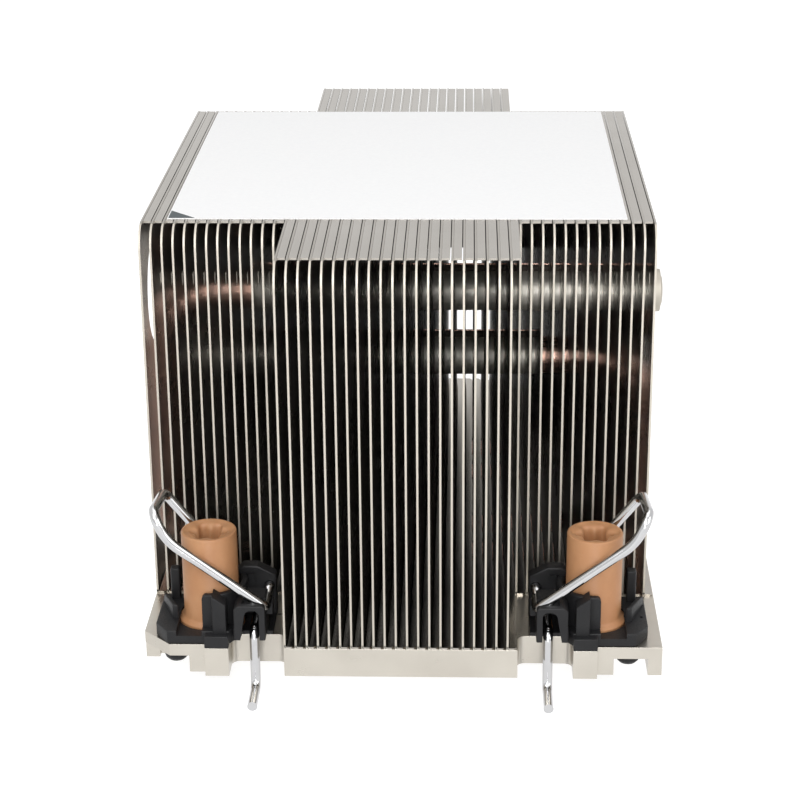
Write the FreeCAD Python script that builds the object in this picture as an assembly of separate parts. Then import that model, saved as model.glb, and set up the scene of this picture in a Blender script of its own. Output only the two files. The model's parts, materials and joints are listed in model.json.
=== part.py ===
import FreeCAD, Part
import math
import os

# Passive 2U server CPU heatsink: nickel plated base plate, soldered zipper-fin stack, copper heat
# pipes, four captive PEEK nuts, four plastic corner retainers, four anti-tilt wires and a top label.
# Frame: millimetres, +Z up, origin at the centre of the processor contact face, -Y is the front.

V = FreeCAD.Vector

# ---------------------------------------------------------------- base plate
BASE_WIDTH = 78.0            # X, also the width of the fin stack
BASE_THICKNESS = 4.6
EAR_REACH = 56.3             # Y of the ears' end faces
PAD_REACH = 57.6             # Y of the forward pads beside the ears
PAD_INNER_X = 25.7
PAD_OUTER_X = 29.3
RECESS_REACH = 52.85         # Y of the set back face between tongue and pad
RECESS_FILLET = 1.2
PIN_ONE_CHAMFER = 4.3        # corner that marks pin 1, front left
EAR_POCKET_HEIGHT = 2.7      # clearance under each ear
EAR_POCKET_INNER_X = 31.8
EAR_POCKET_OUTER_X = 36.9
EAR_POCKET_END = 50.5        # Y where the pocket stops
PIN_ONE_LEG_END = 51.6       # Y where the outer leg stops behind the chamfered corner
GROOVE_WIDTH = 8.0           # flattened heat pipes lie in these grooves
GROOVE_DEPTH = 2.8

# ---------------------------------------------------------------- fin stack
FIN_COUNT = 47
SIDE_FINS = 13               # short fins on each side of the long centre fins
FIN_THICKNESS = 0.4
FIN_HEIGHT = 59.74
FLANGE_THICKNESS = 0.4
FLANGE_GAP = 0.14            # open joint between a flange and the next fin
SIDE_FIN_REACH = 39.0
CENTRE_FIN_REACH = 57.45
FIN_CORNER = 3.0             # clipped upper corners
WINDOW_RADIUS = 10.2         # round opening in the outermost left fin, beside each upper bend
WINDOW_OFFSET_Y = -3.3
WINDOW_OFFSET_Z = 1.5
WINDOW_SIDES = 10
FINS_PER_SIDE_NODE = 5
FINS_PER_CENTRE_NODE = 5

# ---------------------------------------------------------------- heat pipes
PIPE_RADIUS = 3.0
PIPE_FIT = 0.05              # solder gap in the collared fin holes
SLOT_CLEARANCE = 0.3
UPPER_PIPE_Z = 49.5
LOWER_PIPE_Z = 34.7
UPPER_ROWS_Y = (-22.4, 11.2)
LOWER_ROWS_Y = (-11.2, 22.4)
RISER_X = 36.2               # upright run of each pipe
PIPE_BEND = 9.0
PIPE_LOW_BEND = 7.0
PIPE_FREE_END = 40.1         # the free end stands just proud of the last fin
PIPE_SIDES = 10
PIPE_FOOT_END = 25.0
BEND_STEPS = 3

# ---------------------------------------------------------------- captive nuts
NUT_X = 29.0
NUT_Y = 49.0
NUT_RADIUS = 4.2
NUT_TOP = 20.2
NUT_FLANGE_RADIUS = 4.95
NUT_FLANGE_HEIGHT = 0.8
NUT_FLANGE_SLOPE = 0.6
NUT_SEAT_GAP = 0.05
NUT_SHANK_RADIUS = 2.92
NUT_SHANK_CLEARANCE = 0.08
NUT_SHANK_END = 0.8
NUT_THREAD_RADIUS = 1.62     # M4 minor radius, a plain round bore
NUT_SIDES = 12
NUT_HOLE_SIDES = 8
NUT_THREAD_LENGTH = 9.0
SOCKET_DEPTH = 5.5
SOCKET_MINOR_RADIUS = 2.0
SOCKET_MAJOR_RADIUS = 2.8
SOCKET_LOBES = 6

# ---------------------------------------------------------------- anti-tilt wires
WIRE_RADIUS = 0.75
WIRE_SIDES = 6
PIVOT_X = 20.3
PIVOT_Z = 9.9
BAIL_FRONT_Y = 54.4
BAIL_REAR_Y = 43.6
BAIL_RISE_X = 34.4
BAIL_RISE_Z = 20.9
BAIL_TIP_X = 36.5
BAIL_TIP_Z = 24.2
BAIL_TIP_INSET = 0.9
BAIL_KNEE_X = 25.5           # the rear leg runs level to here, then climbs
BAIL_KNEE_Z = 10.3
BAIL_REAR_LIFT = 0.6
STUB_END_Y = 50.6
CRANK_Y = 48.4
HOOK_X = 22.0
HOOK_TOP_Z = 6.3
HOOK_Y = 55.2
HOOK_BOTTOM_Z = -3.0
HOOK_FOOT_END = 61.4

# ---------------------------------------------------------------- corner retainers
PLATE_HEIGHT = 2.1
PLATE_BACK_Y = 43.3
PLATE_FRONT_Y = 56.1
PLATE_OUTER_X = 37.0
PLATE_CLIP_X = 35.0          # clipped outer corner
PLATE_CLIP_Y = 53.3
LIP_HEIGHT = 1.3             # lower step of the plate beside the nut
LIP_BACK_Y = 50.0
FLANGE_CLEARANCE = 0.4
COLLAR_INNER_RADIUS = 4.7
COLLAR_OUTER_RADIUS = 5.6
COLLAR_TOP = 11.95
COLLAR_SIDES = 10
BORE_SIDES = 10
PIVOT_SIDES = 6
PEG_SIDES = 6
COLLAR_END_X = 29.8
COLLAR_BACK_Y = 44.8         # open behind, where the bail's rear leg climbs
UNDERCUT_HEIGHT = 1.9        # room for the nut's flange under the collar
FOOT_INNER_X = 23.65
FOOT_HEIGHT = 1.95
POST_INNER_X = 26.05
POST_OUTER_X = 28.1
POST_BACK_Y = 53.9
POST_FRONT_Y = 56.5
POST_TOP = 12.6
POST_SLOPE = 1.45
ARCH_INNER_X = 20.2
ARCH_OUTER_X = 23.6
ARCH_BUTTRESS_X = 25.0
ARCH_BACK_Y = 49.9
ARCH_FRONT_Y = 56.5
ARCH_BOTTOM = 5.35
ARCH_TOP = 11.05
ARCH_SHOULDER = 0.7
CHANNEL_INNER_X = 21.1
CHANNEL_OUTER_X = 22.9
CHANNEL_FLARE_X = 24.1
CHANNEL_TOP = 10.3
BAIL_RELIEF = 0.3            # clearance round the bail's front leg
WEB_HEIGHT = 0.6             # thin floor under the wire's crank
SADDLE_INNER_X = 19.0
SADDLE_FRONT_Y = 53.3
SADDLE_BOTTOM = 8.2
PIVOT_CLEARANCE = 0.06
LUG_INNER_X = 19.0
LUG_OUTER_X = 25.8
LUG_BACK_Y = 44.6
LUG_FRONT_Y = 46.8
LUG_TOP = 12.1
LUG_CORNER = 1.4
RIB_INNER_X = 33.65
RIB_OUTER_X = 34.7
RIB_FRONT_Y = 52.0
RIB_BACK_Y = 46.0
RIB_TOP = 9.0
RIB_LEAN = 2.15              # the rib runs outwards and falls towards the fins
RIB_FALL = 1.1
TALL_POST_INNER_X = 34.3
TALL_POST_OUTER_X = 35.7
TALL_POST_BACK_Y = 43.8
TALL_POST_FRONT_Y = 45.4
TALL_POST_TOP = 11.9
PEG_X = 34.1
PEG_Y = 53.0
PEG_RADIUS = 1.4
PEG_HOLE_CLEARANCE = 0.1
PEG_HEAD_RADIUS = 1.95
PEG_HEAD_HEIGHT = 1.3

# ---------------------------------------------------------------- top label
LABEL_LENGTH_X = 68.6
LABEL_LENGTH_Y = 68.8
LABEL_THICKNESS = 0.15

# ---------------------------------------------------------------- derived places
FIN_PITCH = BASE_WIDTH / FIN_COUNT
STACK_LEFT = -BASE_WIDTH / 2
FIN_BOTTOM = BASE_THICKNESS
FIN_TOP = FIN_BOTTOM + FIN_HEIGHT
TONGUE_HALF = BASE_WIDTH / 2 - SIDE_FINS * FIN_PITCH
SLOT_HALF = PIPE_RADIUS + SLOT_CLEARANCE
BEND_ZONE = RISER_X - PIPE_BEND
GROOVE_FLOOR = BASE_THICKNESS - GROOVE_DEPTH
FOOT_Z = BASE_THICKNESS - GROOVE_DEPTH / 2
LOW_BEND_REACH = PIPE_RADIUS * math.sqrt(2) + GROOVE_DEPTH / 2
GROOVE_START = RISER_X - PIPE_LOW_BEND + LOW_BEND_REACH + SLOT_CLEARANCE
PLATE_TOP = BASE_THICKNESS + PLATE_HEIGHT
CORNERS = {
    "front_left": (-1, -1),
    "front_right": (1, -1),
    "rear_left": (-1, 1),
    "rear_right": (1, 1),
}


def box(x0, x1, y0, y1, z0, z1):
    """Block between two opposite corners."""
    low = V(min(x0, x1), min(y0, y1), min(z0, z1))
    return Part.makeBox(abs(x1 - x0), abs(y1 - y0), abs(z1 - z0), low)


def prism(points, direction):
    """Closed outline of straight edges, extruded along a vector."""
    return Part.Face(Part.makePolygon(points + points[:1])).extrude(direction)


def ring_points(radius, centre, across, up, sides):
    """Corners of a regular polygon in the plane of two unit vectors."""
    points = []
    for step in range(sides):
        angle = 2 * math.pi * (step + 0.5) / sides
        points.append(centre + across * (radius * math.cos(angle)) + up * (radius * math.sin(angle)))
    return points


def column(radius, x, y, z0, z1, sides):
    """Upright many-sided column whose corners lie on the radius."""
    points = ring_points(radius, V(x, y, z0), V(1, 0, 0), V(0, 1, 0), sides)
    return prism(points, V(0, 0, z1 - z0))


def shaft_hole(radius, x, y, z0, z1, sides):
    """Tool for a many-sided hole whose flats lie on the radius."""
    return column(radius / math.cos(math.pi / sides), x, y, z0, z1, sides)


def turned(profile, x, y, sides):
    """Many-sided turned body through (radius, height) pairs from the bottom up."""
    bodies = []
    for (r0, z0), (r1, z1) in zip(profile, profile[1:]):
        if z1 <= z0:
            continue
        rings = []
        for radius, z in ((r0, z0), (r1, z1)):
            corners = ring_points(radius, V(x, y, z), V(1, 0, 0), V(0, 1, 0), sides)
            rings.append(Part.makePolygon(corners + corners[:1]))
        bodies.append(Part.makeLoft(rings, True, True))
    return bodies[0].fuse(bodies[1:]).removeSplitter()


def mitred_rod(points, radius, sides):
    """Rod along straight runs, mitred where they meet."""
    along = (points[1] - points[0]).normalize()
    across = V(0, 1, 0) if abs(along.y) < 0.5 else V(1, 0, 0)
    corners = ring_points(radius, points[0], across, along.cross(across), sides)
    sweep = Part.BRepOffsetAPI.MakePipeShell(Part.makePolygon(points))
    sweep.setTransitionMode(1)
    sweep.add(Part.makePolygon(corners + corners[:1]))
    sweep.build()
    sweep.makeSolid()
    return sweep.shape()


def place_at_corner(shape, sx, sy):
    """Mirror a piece made for the +X +Y corner into another corner."""
    if sx < 0:
        shape = shape.mirror(V(0, 0, 0), V(1, 0, 0))
    if sy < 0:
        shape = shape.mirror(V(0, 0, 0), V(0, 1, 0))
    return shape


def save(node, shape):
    """Write one node."""
    shape.exportStep("parts/" + node + ".step")


# ---------------------------------------------------------------- heat pipes
def pipe_rows():
    """Bend side, height and row of each heat pipe, by node name."""
    upper_front, upper_rear = UPPER_ROWS_Y
    lower_front, lower_rear = LOWER_ROWS_Y
    return {
        "heat_pipe_upper_front": (-1, UPPER_PIPE_Z, upper_front),
        "heat_pipe_upper_rear": (-1, UPPER_PIPE_Z, upper_rear),
        "heat_pipe_lower_front": (1, LOWER_PIPE_Z, lower_front),
        "heat_pipe_lower_rear": (1, LOWER_PIPE_Z, lower_rear),
    }


def make_pipe(side, height, row_y):
    """Pipe with a straight run through the fins, an upright run and a flattened foot."""
    low_knee = FOOT_Z + PIPE_LOW_BEND
    top_knee = height - PIPE_BEND
    points = [V(-side * PIPE_FREE_END, row_y, height)]
    for step in range(BEND_STEPS + 1):
        turn = math.pi / 2 * step / BEND_STEPS
        x = RISER_X - PIPE_BEND + PIPE_BEND * math.sin(turn)
        z = top_knee + PIPE_BEND * math.cos(turn)
        points.append(V(side * x, row_y, z))
    points.append(V(side * RISER_X, row_y, low_knee))
    points.append(V(side * (RISER_X - PIPE_LOW_BEND), row_y, FOOT_Z))
    points.append(V(side * (BEND_ZONE + SLOT_CLEARANCE), row_y, FOOT_Z))
    tube = mitred_rod(points, PIPE_RADIUS, PIPE_SIDES)
    below = box(-BASE_WIDTH, BASE_WIDTH, -BASE_WIDTH, BASE_WIDTH, -BASE_WIDTH, GROOVE_FLOOR)
    tube = tube.cut(below)
    half = GROOVE_WIDTH / 2
    foot = box(side * (RISER_X - PIPE_LOW_BEND), -side * PIPE_FOOT_END,
               row_y - half, row_y + half, GROOVE_FLOOR, BASE_THICKNESS)
    return tube.fuse(foot).removeSplitter()


# ---------------------------------------------------------------- fins
def fin_reach(index):
    """Half length of a fin: the centre fins run further to the front and rear."""
    if SIDE_FINS <= index < FIN_COUNT - SIDE_FINS:
        return CENTRE_FIN_REACH
    return SIDE_FIN_REACH


def pipe_hole(x, y, z):
    """Tool for one pipe hole through a fin."""
    half = PIPE_RADIUS + PIPE_FIT
    return box(x, x + FIN_THICKNESS, y - half, y + half, z - half, z + half)


def riser_slot(x, height, row_y):
    """Tool for the slot that lets a fin slide over a pipe's upright run."""
    return box(x, x + FIN_PITCH, row_y - SLOT_HALF, row_y + SLOT_HALF,
               FIN_BOTTOM, height + SLOT_HALF)


def bend_window(x, height, row_y):
    """Tool for the round window over an upper bend in the outermost left fin."""
    centre = V(x, row_y + WINDOW_OFFSET_Y, height + WINDOW_OFFSET_Z)
    rim = ring_points(WINDOW_RADIUS, centre, V(0, 1, 0), V(0, 0, 1), WINDOW_SIDES)
    return prism(rim, V(FIN_THICKNESS, 0, 0))


def make_fin(index):
    """Folded sheet: upright plate with a flange along its top and bottom edges."""
    x = STACK_LEFT + index * FIN_PITCH
    reach = fin_reach(index)
    last = index == FIN_COUNT - 1
    flat = reach - FIN_CORNER
    outline = [
        V(x, -reach, FIN_BOTTOM),
        V(x, reach, FIN_BOTTOM),
        V(x, reach, FIN_TOP - FIN_CORNER),
        V(x, flat, FIN_TOP),
        V(x, -flat, FIN_TOP),
        V(x, -reach, FIN_TOP - FIN_CORNER),
    ]
    fin = prism(outline, V(FIN_THICKNESS, 0, 0))
    flange_end = x + FIN_PITCH - (0 if last else FLANGE_GAP)
    fin = fin.fuse(box(x, flange_end, -reach, reach, FIN_BOTTOM, FIN_BOTTOM + FLANGE_THICKNESS))
    if not last:
        fin = fin.fuse(box(x, flange_end, -flat, flat, FIN_TOP - FLANGE_THICKNESS, FIN_TOP))
    tools = []
    for side, height, row_y in pipe_rows().values():
        across = side * (x + FIN_PITCH / 2) + FIN_PITCH / 2
        if across > BEND_ZONE:
            tools.append(riser_slot(x, height, row_y))
            if index == 0:
                tools.append(bend_window(x, height, row_y))
        else:
            tools.append(pipe_hole(x, row_y, height))
    return fin.cut(tools).removeSplitter()


def fin_groups():
    """Node names with the fins that each one holds."""
    groups = {}
    zones = [
        ("fins_left", range(SIDE_FINS), FINS_PER_SIDE_NODE),
        ("fins_centre", range(SIDE_FINS, FIN_COUNT - SIDE_FINS), FINS_PER_CENTRE_NODE),
        ("fins_right", range(FIN_COUNT - SIDE_FINS, FIN_COUNT), FINS_PER_SIDE_NODE),
    ]
    for name, indices, size in zones:
        for number, start in enumerate(range(0, len(indices), size), 1):
            groups[name + "_" + str(number)] = indices[start:start + size]
    return groups


# ---------------------------------------------------------------- base plate
def base_outline():
    """Half outline points of one quarter, from the tongue to the side edge."""
    half = BASE_WIDTH / 2
    return [
        (TONGUE_HALF, CENTRE_FIN_REACH),
        (TONGUE_HALF, RECESS_REACH),
        (PAD_INNER_X, RECESS_REACH),
        (PAD_INNER_X, PAD_REACH),
        (PAD_OUTER_X, PAD_REACH),
        (PAD_OUTER_X, EAR_REACH),
        (half, EAR_REACH),
    ]


def make_base():
    """Machined plate with tongues, ears, pads, pipe grooves and fastener holes."""
    quarter = base_outline()
    points = [V(x, y, 0) for x, y in quarter]
    points += [V(x, -y, 0) for x, y in reversed(quarter)]
    points += [V(-x, -y, 0) for x, y in quarter]
    points += [V(-x, y, 0) for x, y in reversed(quarter)]
    base = prism(points, V(0, 0, BASE_THICKNESS))
    inner = [TONGUE_HALF, PAD_INNER_X]
    edges = []
    for edge in base.Edges:
        a, b = edge.Vertexes[0].Point, edge.Vertexes[-1].Point
        upright = abs(a.x - b.x) + abs(a.y - b.y) < 1e-6
        in_recess = abs(abs(a.y) - RECESS_REACH) < 1e-6
        if upright and in_recess and min(abs(abs(a.x) - x) for x in inner) < 1e-6:
            edges.append(edge)
    base = base.makeFillet(RECESS_FILLET, edges)
    left, front = -BASE_WIDTH / 2, -EAR_REACH
    base = base.cut(prism([
        V(left, front, 0),
        V(left + PIN_ONE_CHAMFER, front, 0),
        V(left, front + PIN_ONE_CHAMFER, 0),
    ], V(0, 0, BASE_THICKNESS)))
    tools = [box(left, -EAR_POCKET_OUTER_X, front, -PIN_ONE_LEG_END, 0, EAR_POCKET_HEIGHT)]
    for sx, sy in CORNERS.values():
        tools.append(box(sx * EAR_POCKET_INNER_X, sx * EAR_POCKET_OUTER_X,
                         sy * EAR_POCKET_END, sy * EAR_REACH, 0, EAR_POCKET_HEIGHT))
        tools.append(shaft_hole(NUT_SHANK_RADIUS + NUT_SHANK_CLEARANCE,
                                sx * NUT_X, sy * NUT_Y, 0, BASE_THICKNESS, NUT_HOLE_SIDES))
        tools.append(shaft_hole(PEG_RADIUS + PEG_HOLE_CLEARANCE, sx * PEG_X, sy * PEG_Y,
                                EAR_POCKET_HEIGHT, BASE_THICKNESS, PEG_SIDES))
    half = GROOVE_WIDTH / 2
    for side, height, row_y in pipe_rows().values():
        tools.append(box(side * GROOVE_START, -side * PIPE_FOOT_END,
                         row_y - half, row_y + half, GROOVE_FLOOR, BASE_THICKNESS))
    return base.cut(tools)


# ---------------------------------------------------------------- nut
def make_nut():
    """Tall captive nut with a seat flange, a threaded shank and a six-lobe drive socket."""
    seat = BASE_THICKNESS + NUT_SEAT_GAP
    rim = seat + NUT_FLANGE_HEIGHT
    neck = rim + NUT_FLANGE_SLOPE
    nut = turned([
        (NUT_SHANK_RADIUS, NUT_SHANK_END),
        (NUT_SHANK_RADIUS, seat),
        (NUT_FLANGE_RADIUS, seat),
        (NUT_FLANGE_RADIUS, rim),
        (NUT_RADIUS, neck),
        (NUT_RADIUS, NUT_TOP),
    ], NUT_X, NUT_Y, NUT_SIDES)
    floor = NUT_TOP - SOCKET_DEPTH
    socket = []
    for corner in range(2 * SOCKET_LOBES):
        angle = math.pi * corner / SOCKET_LOBES
        radius = SOCKET_MINOR_RADIUS if corner % 2 else SOCKET_MAJOR_RADIUS
        socket.append(V(NUT_X + radius * math.cos(angle), NUT_Y + radius * math.sin(angle), floor))
    thread = Part.makeCylinder(NUT_THREAD_RADIUS, NUT_THREAD_LENGTH, V(NUT_X, NUT_Y, NUT_SHANK_END))
    return nut.cut([prism(socket, V(0, 0, SOCKET_DEPTH)), thread])


# ---------------------------------------------------------------- anti-tilt wire
def make_wire():
    """One bent wire: hook foot, crank, pivot, bail round the nut and pivot stub."""
    rear = BAIL_REAR_Y
    front = BAIL_FRONT_Y
    points = [
        V(HOOK_X, HOOK_FOOT_END, HOOK_BOTTOM_Z),
        V(HOOK_X, HOOK_Y, HOOK_BOTTOM_Z),
        V(HOOK_X, HOOK_Y, HOOK_TOP_Z),
        V(HOOK_X, CRANK_Y, HOOK_TOP_Z),
        V(PIVOT_X, CRANK_Y, PIVOT_Z),
        V(PIVOT_X, rear, PIVOT_Z),
        V(BAIL_KNEE_X, rear, BAIL_KNEE_Z),
        V(BAIL_RISE_X, rear, BAIL_RISE_Z + BAIL_REAR_LIFT),
        V(BAIL_TIP_X, rear + BAIL_TIP_INSET, BAIL_TIP_Z),
        V(BAIL_TIP_X, front - BAIL_TIP_INSET, BAIL_TIP_Z),
        V(BAIL_RISE_X, front, BAIL_RISE_Z),
        V(PIVOT_X, front, PIVOT_Z),
        V(PIVOT_X, STUB_END_Y, PIVOT_Z),
    ]
    return mitred_rod(points, WIRE_RADIUS, WIRE_SIDES)


# ---------------------------------------------------------------- corner retainer
def retainer_plate():
    """Plate on the ear with its clipped corner, the foot on the pad and the thin web."""
    base = BASE_THICKNESS
    plate = prism([
        V(FOOT_INNER_X, PLATE_BACK_Y, base),
        V(PLATE_OUTER_X, PLATE_BACK_Y, base),
        V(PLATE_OUTER_X, PLATE_CLIP_Y, base),
        V(PLATE_CLIP_X, PLATE_FRONT_Y, base),
        V(PAD_OUTER_X, PLATE_FRONT_Y, base),
        V(PAD_INNER_X, PLATE_FRONT_Y, base),
        V(FOOT_INNER_X, RECESS_REACH, base),
    ], V(0, 0, PLATE_HEIGHT))
    step = box(COLLAR_END_X, RIB_INNER_X, LIP_BACK_Y, PAD_REACH, base + LIP_HEIGHT, PLATE_TOP)
    foot = box(PAD_INNER_X, PAD_OUTER_X, PLATE_FRONT_Y, PAD_REACH, base, base + FOOT_HEIGHT)
    web = box(LUG_INNER_X, FOOT_INNER_X, LUG_BACK_Y, RECESS_REACH, base, base + WEB_HEIGHT)
    return plate.cut(step).fuse([foot, web])


def retainer_walls():
    """Collar half round the nut, the post in front of it, the rib and the rear post."""
    low = BASE_THICKNESS
    collar = column(COLLAR_OUTER_RADIUS, NUT_X, NUT_Y, low, COLLAR_TOP, COLLAR_SIDES)
    reach = 2 * COLLAR_OUTER_RADIUS
    collar = collar.cut(box(COLLAR_END_X, NUT_X + reach, NUT_Y - reach, NUT_Y + reach,
                            low, COLLAR_TOP))
    collar = collar.cut(box(NUT_X - reach, NUT_X + reach, NUT_Y - reach, COLLAR_BACK_Y,
                            PLATE_TOP, COLLAR_TOP))
    post = prism([
        V(POST_INNER_X, POST_BACK_Y, low),
        V(POST_OUTER_X, POST_BACK_Y, low),
        V(POST_OUTER_X, POST_BACK_Y, POST_TOP),
        V(POST_INNER_X, POST_BACK_Y, POST_TOP - POST_SLOPE),
    ], V(0, POST_FRONT_Y - POST_BACK_Y, 0))
    root = low + RIB_FALL
    rib = prism([
        V(RIB_INNER_X, RIB_FRONT_Y, root),
        V(RIB_OUTER_X, RIB_FRONT_Y, root),
        V(RIB_OUTER_X, RIB_FRONT_Y, RIB_TOP),
        V(RIB_INNER_X, RIB_FRONT_Y, RIB_TOP),
    ], V(RIB_LEAN, RIB_BACK_Y - RIB_FRONT_Y, -RIB_FALL))
    tall_post = box(TALL_POST_INNER_X, TALL_POST_OUTER_X, TALL_POST_BACK_Y, TALL_POST_FRONT_Y,
                    low, TALL_POST_TOP)
    return [collar, post, rib, tall_post]


def retainer_bearings():
    """Arch over the hook, saddle under the pivot stub and lug round the pivot."""
    low = BASE_THICKNESS
    arch = prism([
        V(ARCH_INNER_X, ARCH_BACK_Y, ARCH_BOTTOM),
        V(ARCH_INNER_X, ARCH_BACK_Y, ARCH_TOP - ARCH_SHOULDER),
        V(ARCH_INNER_X + ARCH_SHOULDER, ARCH_BACK_Y, ARCH_TOP),
        V(ARCH_OUTER_X - ARCH_SHOULDER, ARCH_BACK_Y, ARCH_TOP),
        V(ARCH_OUTER_X, ARCH_BACK_Y, ARCH_TOP - ARCH_SHOULDER),
        V(ARCH_OUTER_X, ARCH_BACK_Y, SADDLE_BOTTOM),
        V(ARCH_BUTTRESS_X, ARCH_BACK_Y, PLATE_TOP),
        V(ARCH_BUTTRESS_X, ARCH_BACK_Y, ARCH_BOTTOM),
    ], V(0, ARCH_FRONT_Y - ARCH_BACK_Y, 0))
    seat = box(ARCH_INNER_X, ARCH_BUTTRESS_X, ARCH_BACK_Y, RECESS_REACH, low, ARCH_BOTTOM)
    saddle = box(SADDLE_INNER_X, ARCH_OUTER_X - ARCH_SHOULDER, STUB_END_Y, SADDLE_FRONT_Y,
                 SADDLE_BOTTOM, PIVOT_Z)
    lug = prism([
        V(LUG_INNER_X, LUG_BACK_Y, low),
        V(LUG_OUTER_X, LUG_BACK_Y, low),
        V(LUG_OUTER_X, LUG_BACK_Y, LUG_TOP - LUG_CORNER),
        V(LUG_OUTER_X - LUG_CORNER, LUG_BACK_Y, LUG_TOP),
        V(LUG_INNER_X + LUG_CORNER, LUG_BACK_Y, LUG_TOP),
        V(LUG_INNER_X, LUG_BACK_Y, LUG_TOP - LUG_CORNER),
    ], V(0, LUG_FRONT_Y - LUG_BACK_Y, 0))
    return [arch, seat, saddle, lug]


def retainer_openings():
    """Nut bore, flange undercut, hook channel, bail relief and pivot bore."""
    low = BASE_THICKNESS
    floor = low + WEB_HEIGHT
    bore = column(COLLAR_INNER_RADIUS, NUT_X, NUT_Y, low, POST_TOP, BORE_SIDES)
    undercut = column(NUT_FLANGE_RADIUS + FLANGE_CLEARANCE, NUT_X, NUT_Y,
                      low, low + UNDERCUT_HEIGHT, BORE_SIDES)

    def channel(y0, y1, z0):
        """Flared channel between two depths, open from a height upwards."""
        return prism([
            V(CHANNEL_INNER_X, y0, z0),
            V(CHANNEL_FLARE_X, y0, z0),
            V(CHANNEL_OUTER_X, y0, CHANNEL_TOP),
            V(CHANNEL_INNER_X, y0, CHANNEL_TOP),
        ], V(0, y1 - y0, 0))

    hook = channel(RECESS_REACH, ARCH_FRONT_Y, low)
    crank = channel(LUG_FRONT_Y, RECESS_REACH, floor)
    half = WIRE_RADIUS + BAIL_RELIEF
    relief = box(SADDLE_INNER_X, ARCH_OUTER_X, BAIL_FRONT_Y - half, BAIL_FRONT_Y + half,
                 PIVOT_Z - half, ARCH_TOP)
    bore_radius = (WIRE_RADIUS + PIVOT_CLEARANCE) / math.cos(math.pi / PIVOT_SIDES)
    bearing = prism(ring_points(bore_radius, V(PIVOT_X, LUG_BACK_Y, PIVOT_Z),
                                V(1, 0, 0), V(0, 0, 1), PIVOT_SIDES),
                    V(0, BAIL_FRONT_Y - LUG_BACK_Y, 0))
    return [bore, undercut, hook, crank, relief, bearing]


def make_retainer():
    """Moulded corner piece that holds the nut, carries the wire and snaps into the ear."""
    peg = turned([
        (PEG_RADIUS, EAR_POCKET_HEIGHT - PEG_HEAD_HEIGHT),
        (PEG_HEAD_RADIUS, EAR_POCKET_HEIGHT),
        (PEG_RADIUS, EAR_POCKET_HEIGHT),
        (PEG_RADIUS, BASE_THICKNESS),
    ], PEG_X, PEG_Y, PEG_SIDES)
    body = retainer_plate().fuse(retainer_walls() + retainer_bearings())
    body = body.cut(retainer_openings())
    return body.fuse(peg).removeSplitter()


# ---------------------------------------------------------------- label
def make_label():
    """Thin sheet on top of the fin flanges, centred on them."""
    half_x = LABEL_LENGTH_X / 2
    half_y = LABEL_LENGTH_Y / 2
    return box(-half_x - FIN_PITCH / 2, half_x - FIN_PITCH / 2, -half_y, half_y,
               FIN_TOP, FIN_TOP + LABEL_THICKNESS)


def main():
    """Build every piece and write one file per node."""
    os.makedirs("parts", exist_ok=True)
    save("base_plate", make_base())
    for name, row in pipe_rows().items():
        save(name, make_pipe(*row))
    for name, indices in fin_groups().items():
        save(name, Part.makeCompound([make_fin(index) for index in indices]))
    nut = make_nut()
    wire = make_wire()
    retainer = make_retainer()
    for name, (sx, sy) in CORNERS.items():
        save("nut_" + name, place_at_corner(nut, sx, sy))
        save("anti_tilt_wire_" + name, place_at_corner(wire, sx, sy))
        save("retainer_" + name, place_at_corner(retainer, sx, sy))
    save("top_label", make_label())


main()
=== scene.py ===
import json
import logging
import math
from dataclasses import dataclass, field
from enum import Enum
from typing import Callable, Iterable, Sequence

import bmesh
import bpy
from mathutils import Matrix, Vector

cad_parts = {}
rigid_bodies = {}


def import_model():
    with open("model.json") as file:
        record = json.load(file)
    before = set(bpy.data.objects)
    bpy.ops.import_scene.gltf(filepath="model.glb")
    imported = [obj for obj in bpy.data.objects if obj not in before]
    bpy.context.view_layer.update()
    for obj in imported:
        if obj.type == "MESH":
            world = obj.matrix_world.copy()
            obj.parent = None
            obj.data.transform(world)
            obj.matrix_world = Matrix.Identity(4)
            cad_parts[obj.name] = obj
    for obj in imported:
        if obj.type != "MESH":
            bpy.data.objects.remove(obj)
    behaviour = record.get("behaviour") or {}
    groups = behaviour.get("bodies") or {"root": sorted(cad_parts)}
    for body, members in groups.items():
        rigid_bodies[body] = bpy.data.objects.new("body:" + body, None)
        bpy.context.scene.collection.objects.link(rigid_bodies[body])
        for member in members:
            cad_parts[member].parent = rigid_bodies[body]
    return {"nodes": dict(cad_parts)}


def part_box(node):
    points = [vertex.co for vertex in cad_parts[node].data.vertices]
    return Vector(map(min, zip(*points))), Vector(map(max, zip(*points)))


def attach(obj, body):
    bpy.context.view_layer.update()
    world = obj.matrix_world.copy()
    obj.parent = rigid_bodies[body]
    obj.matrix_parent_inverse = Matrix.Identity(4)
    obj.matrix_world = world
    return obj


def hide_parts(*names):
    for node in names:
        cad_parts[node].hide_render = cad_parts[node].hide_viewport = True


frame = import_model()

LOG = logging.getLogger("heatsink")
MM = 0.001
MERGE = 1e-7
SOLVER = "MANIFOLD"
NUT_X, NUT_Y = 29.0, 49.0
NOISE_LOW, NOISE_HIGH = 0.3, 0.7
# Face indices of a fin row: outer faces, rims in a lighter nickel as painted highlight, channel faces in a
# darker nickel as painted shade.
OUTER, RIM, CHANNEL_SHADE = range(3)
WHITE = (1.0, 1.0, 1.0, 1.0)
Point = tuple[float, float, float]
Colour = tuple[float, float, float]
Outline = list[tuple[float, float]]
Rings = list[list[Vector]]
Obj = bpy.types.Object
Node = bpy.types.Node
Material = bpy.types.Material
BMesh = bmesh.types.BMesh


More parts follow.
